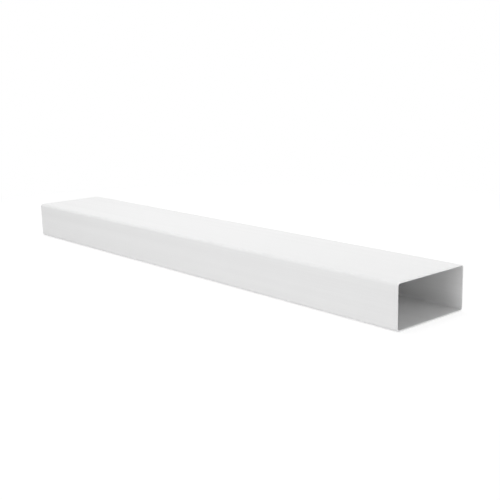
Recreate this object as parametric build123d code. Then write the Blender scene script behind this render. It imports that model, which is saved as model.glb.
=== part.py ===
from build123d import *
import os

# Flat channel air duct: one extruded length of white rigid PVC, a hollow rounded rectangle sawn square
# at both ends. It lies on its wide face. X runs along the duct, Y across its width and Z up.
# The origin is on the floor, under the middle of the duct.

# Driving dimensions, in millimetres.
length = 1000.0  # stock length between the two saw cuts
width = 150.0  # outside, across the wide face
height = 70.0  # outside, floor to top
wall = 2.0  # the same all round the section
bore_corner_radius = 4.0  # round inside each corner of the air way
end_break = 0.3  # burr scraped off the inner and outer edges of each saw cut

# Sizes that follow from the driving dimensions.
bore_width = width - 2 * wall
bore_height = height - 2 * wall
outer_corner_radius = bore_corner_radius + wall  # keeps the wall even round the corner
section_plane = Plane(origin=(0, 0, height / 2), x_dir=(0, 1, 0), z_dir=(1, 0, 0))


def extrusion_section():
    """The die's section: a rounded rectangle with the air way taken out of it."""
    outside = RectangleRounded(width, height, outer_corner_radius)
    air_way = RectangleRounded(bore_width, bore_height, bore_corner_radius)
    return section_plane * (outside - air_way)


def duct_length():
    """The section drawn out to the stock length, with the edges of both saw cuts broken."""
    drawn = extrude(extrusion_section(), amount=length / 2, both=True)
    saw_cuts = drawn.faces().filter_by(Axis.X)
    return chamfer(saw_cuts.edges(), end_break)


os.makedirs("parts", exist_ok=True)
export_step(duct_length(), "parts/flat_channel_duct.step")
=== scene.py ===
import math
from collections import namedtuple

import bmesh
import bpy
from bpy.props import FloatProperty, FloatVectorProperty, IntProperty, PointerProperty
from mathutils import Matrix, Vector


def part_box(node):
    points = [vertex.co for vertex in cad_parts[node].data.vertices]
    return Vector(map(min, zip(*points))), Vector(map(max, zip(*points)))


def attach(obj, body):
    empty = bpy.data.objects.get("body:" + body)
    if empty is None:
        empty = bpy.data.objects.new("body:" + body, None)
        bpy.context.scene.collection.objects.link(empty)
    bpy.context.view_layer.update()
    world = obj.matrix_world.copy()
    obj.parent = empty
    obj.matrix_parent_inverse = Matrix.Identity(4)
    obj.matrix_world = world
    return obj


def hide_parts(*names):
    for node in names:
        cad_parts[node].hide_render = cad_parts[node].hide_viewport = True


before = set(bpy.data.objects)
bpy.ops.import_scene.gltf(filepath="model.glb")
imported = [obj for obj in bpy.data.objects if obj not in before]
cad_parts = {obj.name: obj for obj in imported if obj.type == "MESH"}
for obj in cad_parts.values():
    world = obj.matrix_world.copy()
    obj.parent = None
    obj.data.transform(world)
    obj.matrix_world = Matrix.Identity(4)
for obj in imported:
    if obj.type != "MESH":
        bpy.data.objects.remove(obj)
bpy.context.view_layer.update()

# Flat channel air duct: one length of white rigid PVC extrusion, lying on its wide face.
# X runs along the duct, Y across its width and Z up, with the origin on the floor under its middle.

bl_info = {
    "name": "Flat Channel Duct",
    "version": (1, 0, 0),
    "blender": (4, 5, 0),
    "location": "3D View > Sidebar > Duct",
    "description": "Models a length of flat channel air duct and the studio it is shown in",
    "category": "Add Mesh",
}

DUCT_NODE = "flat_channel_duct"
DUCT_LOW, DUCT_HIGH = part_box(DUCT_NODE)
DUCT_SPAN = DUCT_HIGH - DUCT_LOW
MM = 0.001
EXTRUDED, SAWN = 0, 1  # the duct's two finishes
FACING_X = Matrix(((0, 0, 1), (1, 0, 0), (0, 1, 0))).to_4x4()  # stands a drawing up across the duct
SQUARE_ON = 0.99  # a face that looks this nearly along the duct is a saw cut
ON_PLANE = 0.001 * MM  # points this near a cut are taken to lie on it
BREAK_STEPS = 2  # facets across each broken edge
BAKE_MAP = "OFBake"  # the UV map that the duct is unrolled onto
CUT_SHARE = 0.03  # of the map's height, for each saw cut
PVC_IOR = 1.53
MIDDLE_OF_NOISE = (0.3, 0.7)  # nearly all of a noise's values lie in here
MIDDLE_OF_TWO = (0.7, 1.3)  # most sums of two noises lie in here
PEAKS_OF_NOISE = (0.72, 0.80)  # only a noise's few peaks reach in here
WAVE_RADIANS = 20  # how far a wave texture turns in one unit of its coordinates
SENSOR_WIDTH = 36  # millimetres

SoftBox = namedtuple("SoftBox", "place side watts")
SOFT_BOXES = {
    "overhead": SoftBox(place=(0.0, 0.0, 2.4), side=1.6, watts=34.2),
    "front_box": SoftBox(place=(0.6, -2.2, 0.4), side=0.7, watts=12.2),
    "back_box": SoftBox(place=(-0.6, 2.2, 0.4), side=0.7, watts=7.5),
    "near_end_box": SoftBox(place=(2.2, 0.8, 0.2), side=0.38, watts=13.0),
    "far_end_box": SoftBox(place=(-1.6, 1.2, 0.5), side=0.6, watts=4.5),
}


class DuctSizes(bpy.types.PropertyGroup):
    """Sizes of the extrusion."""

    length: FloatProperty(
        name="Length", description="Between the two saw cuts", default=DUCT_SPAN.x, unit="LENGTH"
    )
    width: FloatProperty(
        name="Width", description="Outside, across the wide face", default=DUCT_SPAN.y, unit="LENGTH"
    )
    height: FloatProperty(
        name="Height", description="Outside, floor to top", default=DUCT_SPAN.z, unit="LENGTH"
    )
    wall: FloatProperty(
        name="Wall", description="Thickness all round the section", default=2 * MM, unit="LENGTH"
    )
    corner_round: FloatProperty(
        name="Corner round", description="Outside radius of each corner", default=6 * MM, unit="LENGTH"
    )
    end_break: FloatProperty(
        name="End break", description="Burr scraped off the edges of each saw cut",
        default=0.3 * MM, unit="LENGTH",
    )
    corner_steps: IntProperty(
        name="Corner steps", description="Facets round each corner", default=14, min=3
    )
    flat_margin: FloatProperty(
        name="Flat margin", description="From each round and broken edge to a cut in the flat beside it",
        default=0.5 * MM, unit="LENGTH",
    )
    station: FloatProperty(
        name="Station", description="Spacing of the cross cuts along the length",
        default=25 * MM, unit="LENGTH",
    )


class DuctFinish(bpy.types.PropertyGroup):
    """Colour and surface of the plastic."""

    white: FloatVectorProperty(
        name="White", description="Colour of the extruded skin",
        default=(0.870, 0.870, 0.870), size=3, subtype="COLOR",
    )
    line_white: FloatVectorProperty(
        name="Line white", description="Colour in the lines left by the die",
        default=(0.845, 0.845, 0.845), size=3, subtype="COLOR",
    )
    sawn_white: FloatVectorProperty(
        name="Sawn white", description="Colour of the saw cuts",
        default=(0.865, 0.865, 0.865), size=3, subtype="COLOR",
    )
    sawn_groove: FloatVectorProperty(
        name="Sawn groove", description="Colour in the saw's grooves",
        default=(0.825, 0.825, 0.825), size=3, subtype="COLOR",
    )
    satin: FloatProperty(
        name="Satin", description="Roughness of the extruded skin",
        default=0.40, min=0, max=1, subtype="FACTOR",
    )
    sawn_satin: FloatProperty(
        name="Sawn satin", description="Roughness of the saw cuts",
        default=0.62, min=0, max=1, subtype="FACTOR",
    )
    satin_spread: FloatProperty(
        name="Satin spread", description="How far the roughness strays from line to line",
        default=0.06, min=0, max=1, subtype="FACTOR",
    )
    die_line: FloatProperty(
        name="Die line", description="Usual width of a line left by the die",
        default=1.5 * MM, unit="LENGTH",
    )
    die_depth: FloatProperty(
        name="Die depth", description="Depth of a line left by the die",
        default=0.03 * MM, unit="LENGTH",
    )
    die_run: FloatProperty(
        name="Die run", description="Usual length of a die line before it fades",
        default=600 * MM, unit="LENGTH",
    )
    band_width: FloatProperty(
        name="Band width", description="Usual width of the broad bands that the die lines gather in",
        default=18 * MM, unit="LENGTH",
    )
    band_run: FloatProperty(
        name="Band run", description="Usual length of a broad band before it fades",
        default=1200 * MM, unit="LENGTH",
    )
    rub_width: FloatProperty(
        name="Rub width", description="Width of the faint rubs from handling",
        default=0.5 * MM, unit="LENGTH",
    )
    rub_run: FloatProperty(
        name="Rub run", description="Length of the faint rubs from handling",
        default=60 * MM, unit="LENGTH",
    )
    saw_pitch: FloatProperty(
        name="Saw pitch", description="Spacing of the saw's grooves", default=1.0 * MM, unit="LENGTH"
    )
    saw_waver: FloatProperty(
        name="Saw waver", description="How unevenly the saw's grooves are spaced", default=7.0, min=0
    )
    saw_depth: FloatProperty(
        name="Saw depth", description="Depth of the saw's grooves", default=0.04 * MM, unit="LENGTH"
    )
    saw_radius: FloatProperty(
        name="Saw radius", description="From the saw's shaft to the middle of the duct",
        default=160 * MM, unit="LENGTH",
    )


class StudioSet(bpy.types.PropertyGroup):
    """Camera, floor and lamps."""

    lens: FloatProperty(
        name="Lens", description="Focal length in millimetres", default=61.2, unit="CAMERA"
    )
    place: FloatVectorProperty(
        name="Camera place", description="Where the camera stands",
        default=(1.2025, -0.9435, 0.3602), size=3, subtype="TRANSLATION",
    )
    heading: FloatProperty(
        name="Heading", description="Turn of the camera to the left of +Y",
        default=math.radians(49.08), subtype="ANGLE",
    )
    tilt: FloatProperty(
        name="Tilt", description="How far the camera looks down",
        default=math.radians(12.32), subtype="ANGLE",
    )
    roll: FloatProperty(
        name="Roll", description="Turn about the line of sight",
        default=math.radians(-1.405), subtype="ANGLE",
    )
    floor_side: FloatProperty(
        name="Floor side", description="Side of the square floor", default=60.0, unit="LENGTH"
    )
    floor_white: FloatVectorProperty(
        name="Floor white", description="Colour with which the floor throws light back",
        default=(0.9, 0.9, 0.9), size=3, subtype="COLOR",
    )
    floor_shade: FloatVectorProperty(
        name="Floor shade", description="Share of the floor's look that takes the shadow",
        default=(0.3, 0.3, 0.3), size=3, subtype="COLOR",
    )
    floor_glow: FloatProperty(
        name="Floor glow", description="Rest of the floor's look, which makes it white to the camera",
        default=0.77,
    )
    shade_reach: FloatProperty(
        name="Shade reach", description="From the duct's middle to where its shadow begins to fade out",
        default=0.65, unit="LENGTH",
    )
    white_reach: FloatProperty(
        name="White reach", description="From the duct's middle to where the floor is plain white",
        default=1.1, unit="LENGTH",
    )
    sky: FloatProperty(name="Sky", description="Even light from all round", default=0.36)


def section_ring(bm, sizes):
    """Draws the section at the -X end: a rounded rectangle with the air way inset and taken out."""
    start = Matrix.Translation((-sizes.length / 2, 0, sizes.height / 2))
    scale = Matrix.Diagonal((sizes.width, sizes.height, 1, 1))
    made = bmesh.ops.create_grid(
        bm, x_segments=1, y_segments=1, size=0.5, matrix=start @ FACING_X @ scale
    )
    bmesh.ops.bevel(
        bm, geom=made["verts"], offset=sizes.corner_round, offset_type="OFFSET", affect="VERTICES",
        segments=sizes.corner_steps, profile=0.5, material=-1,
    )
    outside = bm.faces[:]
    bmesh.ops.inset_region(
        bm, faces=outside, thickness=sizes.wall, use_boundary=True, use_even_offset=True
    )
    bmesh.ops.delete(bm, geom=outside, context="FACES_ONLY")
    return bm.faces[:]


def is_saw_cut(face):
    """True for a face that looks along the duct."""
    return abs(face.normal.x) > SQUARE_ON


def cut_across(bm, place, normal):
    """Cuts the whole mesh along a plane, and keeps both sides."""
    geometry = bm.verts[:] + bm.edges[:] + bm.faces[:]
    bmesh.ops.bisect_plane(bm, geom=geometry, dist=ON_PLANE, plane_co=place, plane_no=normal)


def add_cuts(bm, sizes):
    """Cuts the mesh beside each round and broken edge, and across at every station."""
    middle = Vector((0, 0, sizes.height / 2))
    flat_y = sizes.width / 2 - sizes.corner_round - sizes.flat_margin
    flat_z = sizes.height / 2 - sizes.corner_round - sizes.flat_margin
    flat_x = sizes.length / 2 - sizes.end_break - sizes.flat_margin
    for sign in (-1, 1):
        cut_across(bm, middle + Vector((sign * flat_x, 0, 0)), (1, 0, 0))
        cut_across(bm, middle + Vector((0, sign * flat_y, 0)), (0, 1, 0))
        cut_across(bm, middle + Vector((0, 0, sign * flat_z)), (0, 0, 1))
    stations = round(sizes.length / sizes.station)
    for i in range(1, stations):
        cut_across(bm, (sizes.length * (i / stations - 0.5), 0, 0), (1, 0, 0))


def place_in_wall(sizes, point):
    """Share of the girth from the seam to a point, and share of the wall's depth at which it lies."""
    # The rounds share their centres, so the wall stands evenly off a core rectangle through them.
    core_y = sizes.width / 2 - sizes.corner_round
    core_z = sizes.height / 2 - sizes.corner_round
    girth = 4 * (core_y + core_z) + math.tau * sizes.corner_round
    y, z = abs(point.y), point.z - sizes.height / 2
    foot = Vector((min(y, core_y), max(-core_z, min(z, core_z))))
    out = Vector((y, z)) - foot
    flats = core_z + foot.y + (foot.x if z < 0 else 2 * core_y - foot.x)
    rounds = sizes.corner_round * math.atan2(out.x, -out.y)
    from_middle = math.copysign(flats + rounds, point.y)
    seam = core_y - sizes.flat_margin
    share = (from_middle - seam) / girth % 1
    deep = (sizes.corner_round - out.length) / sizes.wall
    return share, deep


def unroll(bm, sizes):
    """Maps the duct without gaps: along the outside, over a cut, back inside, over the other cut."""
    places = bm.loops.layers.uv.new(BAKE_MAP)
    skin_share = 0.5 - CUT_SHARE
    skin_length = sizes.length - 2 * sizes.end_break
    for face in bm.faces:
        middle = face.calc_center_median()
        middle_share, middle_deep = place_in_wall(sizes, middle)
        for loop in face.loops:
            point = loop.vert.co
            share, deep = place_in_wall(sizes, point)
            along = skin_share * (point.x / skin_length + 0.5)
            if face.material_index == EXTRUDED:
                height = along if middle_deep < 0.5 else 1 - CUT_SHARE - along
            else:
                height = skin_share + CUT_SHARE * deep if middle.x > 0 else 1 - CUT_SHARE * deep
            same_side = share + round(middle_share - share)  # of the seam as the face's middle
            loop[places].uv = (same_side, height)


def draw_duct(sizes):
    """Extrudes the section to the stock length, breaks the edges of both saw cuts and maps it."""
    bm = bmesh.new()
    ring = section_ring(bm, sizes)
    drawn = bmesh.ops.extrude_face_region(bm, geom=ring)
    moved = [e for e in drawn["geom"] if isinstance(e, bmesh.types.BMVert)]
    bmesh.ops.translate(bm, verts=moved, vec=(sizes.length, 0, 0))
    bmesh.ops.recalc_face_normals(bm, faces=bm.faces[:])
    for face in bm.faces:
        face.material_index = SAWN if is_saw_cut(face) else EXTRUDED
    rims = [e for e in bm.edges if sum(is_saw_cut(f) for f in e.link_faces) == 1]
    broken = bmesh.ops.bevel(
        bm, geom=rims, offset=sizes.end_break, offset_type="OFFSET", affect="EDGES",
        segments=BREAK_STEPS, profile=0.5, material=-1,
    )
    for face in broken["faces"]:
        face.material_index = SAWN
    add_cuts(bm, sizes)
    for face in bm.faces:
        face.smooth = not is_saw_cut(face)
    unroll(bm, sizes)
    return bm


def new_material(name):
    """Makes a node material of one Principled shader. Returns it with its nodes, links and shader."""
    material = bpy.data.materials.new(name)
    material.use_nodes = True
    tree = material.node_tree
    tree.nodes.clear()
    output = tree.nodes.new("ShaderNodeOutputMaterial")
    shader = tree.nodes.new("ShaderNodeBsdfPrincipled")
    tree.links.new(shader.outputs["BSDF"], output.inputs["Surface"])
    return material, tree.nodes, tree.links, shader


def streaks(nodes, links, run, width, detail):
    """Noise drawn out along the duct in streaks about so long and so wide. Returns its value."""
    place = nodes.new("ShaderNodeTexCoord")
    drawn = nodes.new("ShaderNodeMapping")
    drawn.inputs["Scale"].default_value = (1 / run, 1 / width, 1 / width)
    noise = nodes.new("ShaderNodeTexNoise")
    noise.inputs["Scale"].default_value = 1
    noise.inputs["Detail"].default_value = detail
    links.new(place.outputs["Object"], drawn.inputs["Vector"])
    links.new(drawn.outputs["Vector"], noise.inputs["Vector"])
    return noise.outputs["Fac"]


def spread(nodes, links, value, span, result):
    """Carries the span of a value onto the result's span, with soft ends."""
    reach = nodes.new("ShaderNodeMapRange")
    reach.interpolation_type = "SMOOTHSTEP"
    for name, number in zip(("From Min", "From Max", "To Min", "To Max"), (*span, *result)):
        reach.inputs[name].default_value = number
    links.new(value, reach.inputs["Value"])
    return reach.outputs["Result"]


def blend_colours(nodes, links, value, first, second):
    """Mixes two colours by a value."""
    mix = nodes.new("ShaderNodeMix")
    mix.data_type = "RGBA"
    mix.inputs["A"].default_value = (*first, 1)
    mix.inputs["B"].default_value = (*second, 1)
    links.new(value, mix.inputs["Factor"])
    return mix.outputs["Result"]


def add(nodes, links, first, second):
    """Adds two values."""
    both = nodes.new("ShaderNodeMath")
    both.operation = "ADD"
    links.new(first, both.inputs[0])
    links.new(second, both.inputs[1])
    return both.outputs[0]


def press_in(nodes, links, height, depth, shader):
    """Gives a shader fine relief of that depth."""
    bump = nodes.new("ShaderNodeBump")
    bump.inputs["Distance"].default_value = depth
    links.new(height, bump.inputs["Height"])
    links.new(bump.outputs["Normal"], shader.inputs["Normal"])


def extruded_pvc(finish):
    """Extruded skin: satin white with the die's fine lines and broad bands, and a few faint rubs."""
    material, nodes, links, shader = new_material("extruded_pvc")
    lines = streaks(nodes, links, finish.die_run, finish.die_line, detail=3)
    bands = streaks(nodes, links, finish.band_run, finish.band_width, detail=1)
    rubs = streaks(nodes, links, finish.rub_run, finish.rub_width, detail=0)
    tone = spread(nodes, links, add(nodes, links, lines, bands), MIDDLE_OF_TWO, (0, 1))
    colour = blend_colours(nodes, links, tone, finish.line_white, finish.white)
    links.new(colour, shader.inputs["Base Color"])
    satin_range = (finish.satin - finish.satin_spread, finish.satin + finish.satin_spread)
    satin = spread(nodes, links, lines, MIDDLE_OF_NOISE, satin_range)
    rubbed = spread(nodes, links, rubs, PEAKS_OF_NOISE, (0, 2 * finish.satin_spread))
    links.new(add(nodes, links, satin, rubbed), shader.inputs["Roughness"])
    shader.inputs["IOR"].default_value = PVC_IOR
    press_in(nodes, links, lines, finish.die_depth, shader)
    return material


def sawn_pvc(finish):
    """Saw cut: a duller white with the blade's shallow arcs."""
    material, nodes, links, shader = new_material("sawn_pvc")
    place = nodes.new("ShaderNodeTexCoord")
    shaft = nodes.new("ShaderNodeMapping")
    shaft.inputs["Location"].default_value = (0, 0, -DUCT_SPAN.z / 2 - finish.saw_radius)
    arcs = nodes.new("ShaderNodeTexWave")
    arcs.wave_type = "RINGS"
    arcs.rings_direction = "X"
    arcs.inputs["Scale"].default_value = math.tau / (WAVE_RADIANS * finish.saw_pitch)
    arcs.inputs["Distortion"].default_value = finish.saw_waver
    links.new(place.outputs["Object"], shaft.inputs["Vector"])
    links.new(shaft.outputs["Vector"], arcs.inputs["Vector"])
    grooves = arcs.outputs["Fac"]
    colour = blend_colours(nodes, links, grooves, finish.sawn_groove, finish.sawn_white)
    links.new(colour, shader.inputs["Base Color"])
    satin_range = (finish.sawn_satin + finish.satin_spread, finish.sawn_satin - finish.satin_spread)
    links.new(spread(nodes, links, grooves, (0, 1), satin_range), shader.inputs["Roughness"])
    shader.inputs["IOR"].default_value = PVC_IOR
    press_in(nodes, links, grooves, finish.saw_depth, shader)
    return material


def link_mesh(name, bm):
    """Makes an object at the origin from a bmesh."""
    mesh = bpy.data.meshes.new(name)
    bm.to_mesh(mesh)
    bm.free()
    piece = bpy.data.objects.new(name, mesh)
    bpy.context.scene.collection.objects.link(piece)
    return piece


class DUCT_OT_make_channel(bpy.types.Operator):
    """Model the length of duct and give it its finish"""

    bl_idname = "duct.make_channel"
    bl_label = "Make Channel"

    def execute(self, context):
        sizes, finish = context.scene.duct_sizes, context.scene.duct_finish
        piece = link_mesh("channel", draw_duct(sizes))
        piece.data.materials.append(extruded_pvc(finish))
        piece.data.materials.append(sawn_pvc(finish))
        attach(piece, "root")
        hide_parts(DUCT_NODE)
        return {"FINISHED"}


def white_to_camera(nodes, links, lit, shown, output):
    """Shows one shader to the camera, reflections and glass, and lets another light the object."""
    path = nodes.new("ShaderNodeLightPath")
    seen = path.outputs["Is Camera Ray"]
    for name in ("Is Glossy Ray", "Is Transmission Ray"):
        either = nodes.new("ShaderNodeMath")
        either.operation = "MAXIMUM"
        links.new(seen, either.inputs[0])
        links.new(path.outputs[name], either.inputs[1])
        seen = either.outputs[0]
    choose = nodes.new("ShaderNodeMixShader")
    links.new(seen, choose.inputs["Fac"])
    links.new(lit, choose.inputs[1])
    links.new(shown, choose.inputs[2])
    links.new(choose.outputs[0], output)


def make_world(strength):
    """Even soft light all round, white to the camera."""
    world = bpy.data.worlds.new("studio")
    bpy.context.scene.world = world
    world.use_nodes = True
    nodes, links = world.node_tree.nodes, world.node_tree.links
    nodes.clear()
    output = nodes.new("ShaderNodeOutputWorld")
    light = nodes.new("ShaderNodeBackground")
    light.inputs["Strength"].default_value = strength
    light.inputs["Color"].default_value = (1, 1, 1, 1)
    white = nodes.new("ShaderNodeBackground")
    white.inputs["Color"].default_value = (1, 1, 1, 1)
    white.inputs["Strength"].default_value = 1
    white_to_camera(nodes, links, light.outputs[0], white.outputs[0], output.inputs["Surface"])


def floor_material(studio):
    """Pale floor that shows white, and keeps a faint shadow round the duct."""
    material = bpy.data.materials.new("pale_floor")
    material.use_nodes = True
    nodes, links = material.node_tree.nodes, material.node_tree.links
    nodes.clear()
    output = nodes.new("ShaderNodeOutputMaterial")
    plain = nodes.new("ShaderNodeBsdfDiffuse")
    plain.inputs["Color"].default_value = (*studio.floor_white, 1)
    shade = nodes.new("ShaderNodeBsdfDiffuse")
    shade.inputs["Color"].default_value = (*studio.floor_shade, 1)
    glow = nodes.new("ShaderNodeEmission")
    glow.inputs["Strength"].default_value = studio.floor_glow
    near = nodes.new("ShaderNodeAddShader")
    links.new(shade.outputs[0], near.inputs[0])
    links.new(glow.outputs[0], near.inputs[1])
    white = nodes.new("ShaderNodeEmission")
    place = nodes.new("ShaderNodeTexCoord")
    away = nodes.new("ShaderNodeVectorMath")
    away.operation = "LENGTH"
    links.new(place.outputs["Object"], away.inputs[0])
    fading = (studio.shade_reach, studio.white_reach)
    faded = spread(nodes, links, away.outputs["Value"], fading, (0, 1))
    fade = nodes.new("ShaderNodeMixShader")
    links.new(faded, fade.inputs["Fac"])
    links.new(near.outputs[0], fade.inputs[1])
    links.new(white.outputs[0], fade.inputs[2])
    white_to_camera(nodes, links, plain.outputs[0], fade.outputs[0], output.inputs["Surface"])
    return material


def make_floor(studio):
    """Lays the floor under the duct."""
    bm = bmesh.new()
    bmesh.ops.create_grid(bm, x_segments=1, y_segments=1, size=studio.floor_side / 2)
    floor = link_mesh("floor", bm)
    floor.data.materials.append(floor_material(studio))


def make_lamp(name, box):
    """Soft box aimed at the floor under the duct. No reflection shows it, so it leaves no glint."""
    data = bpy.data.lights.new(name, "AREA")
    data.shape = "SQUARE"
    data.size = box.side
    data.energy = box.watts
    lamp = bpy.data.objects.new(name, data)
    bpy.context.scene.collection.objects.link(lamp)
    lamp.location = box.place
    lamp.rotation_euler = (-Vector(box.place)).to_track_quat("-Z", "Y").to_euler()
    lamp.visible_camera = False
    lamp.visible_glossy = False


def make_camera(studio):
    """Sets up the camera that the scene is rendered from."""
    data = bpy.data.cameras.new("camera")
    data.sensor_width = SENSOR_WIDTH
    data.lens = studio.lens
    camera = bpy.data.objects.new("camera", data)
    bpy.context.scene.collection.objects.link(camera)
    turn = Matrix.Rotation(studio.heading, 4, "Z")
    look = Matrix.Rotation(math.radians(90) - studio.tilt, 4, "X")
    roll = Matrix.Rotation(studio.roll, 4, "Z")
    camera.matrix_world = Matrix.Translation(studio.place) @ turn @ look @ roll
    bpy.context.scene.camera = camera


class DUCT_OT_set_stage(bpy.types.Operator):
    """Set the floor, the light and the camera"""

    bl_idname = "duct.set_stage"
    bl_label = "Set Stage"

    def execute(self, context):
        studio = context.scene.duct_studio
        make_floor(studio)
        make_world(studio.sky)
        for name, box in SOFT_BOXES.items():
            make_lamp(name, box)
        make_camera(studio)
        context.scene.view_settings.view_transform = "Standard"
        return {"FINISHED"}


class DUCT_PT_panel(bpy.types.Panel):
    """Sizes and steps of the duct"""

    bl_idname = "DUCT_PT_panel"
    bl_label = "Flat Channel Duct"
    bl_space_type = "VIEW_3D"
    bl_region_type = "UI"
    bl_category = "Duct"

    def draw(self, context):
        for group in (context.scene.duct_sizes, context.scene.duct_finish, context.scene.duct_studio):
            box = self.layout.box()
            for name in group.bl_rna.properties.keys():
                if name not in ("rna_type", "name"):
                    box.prop(group, name)
        self.layout.operator(DUCT_OT_make_channel.bl_idname)
        self.layout.operator(DUCT_OT_set_stage.bl_idname)


CLASSES = (DuctSizes, DuctFinish, StudioSet, DUCT_OT_make_channel, DUCT_OT_set_stage, DUCT_PT_panel)
GROUPS = {"duct_sizes": DuctSizes, "duct_finish": DuctFinish, "duct_studio": StudioSet}


def register():
    """Adds the classes, and the settings of each scene."""
    for cls in CLASSES:
        bpy.utils.register_class(cls)
    for name, group in GROUPS.items():
        setattr(bpy.types.Scene, name, PointerProperty(type=group))


def unregister():
    """Takes the settings and the classes out again."""
    for name in GROUPS:
        delattr(bpy.types.Scene, name)
    for cls in reversed(CLASSES):
        bpy.utils.unregister_class(cls)


def main():
    """Makes the duct and its stage."""
    register()
    bpy.ops.duct.make_channel()
    bpy.ops.duct.set_stage()


if __name__ == "__main__":
    main()
